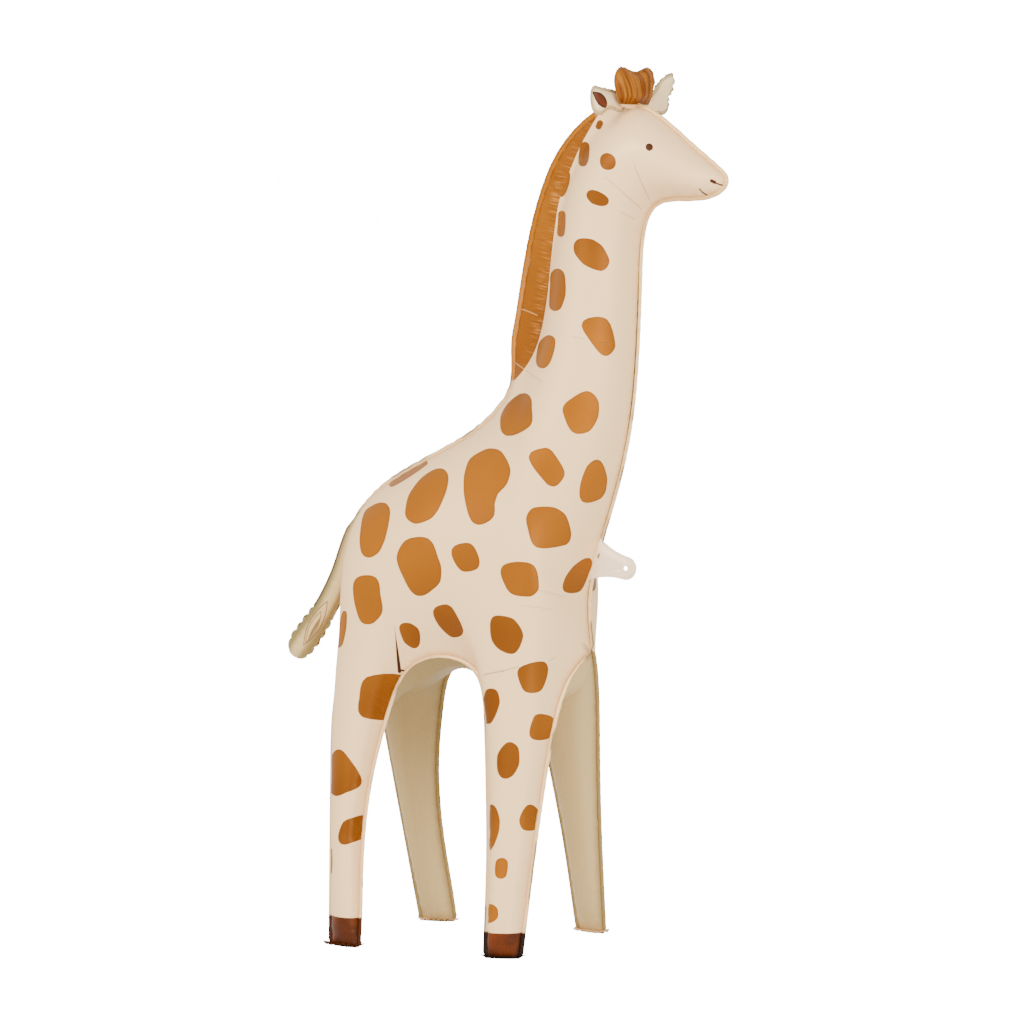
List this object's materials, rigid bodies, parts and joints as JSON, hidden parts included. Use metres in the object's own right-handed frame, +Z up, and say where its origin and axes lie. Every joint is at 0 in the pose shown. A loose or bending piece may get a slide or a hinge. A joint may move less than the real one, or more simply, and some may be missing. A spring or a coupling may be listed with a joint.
{
  "type": "giraffe foil balloon",
  "caption": "Standing giraffe balloon of printed foil with splayed legs, a flat mane, a glued-on tail, ears and horns, and a filling tab with an eyelet on the chest.",
  "frame": {"origin": "on the floor under the middle of the balloon's length and width", "axes": "+X the way the giraffe faces, +Y its left side, +Z up"},
  "size_m": [0.6826, 0.2962, 1.1999],
  "materials": {
    "body": "satin printed foil",
    "tail": "satin printed foil",
    "horns": "satin printed foil",
    "ear_right": "satin printed foil",
    "ear_left": "satin printed foil"
  },
  "bodies": {
    "root": {"body": "body", "tail": "tail", "horns": "horns", "ear_right": "ear_right", "ear_left": "ear_left"}
  },
  "joints": []
}
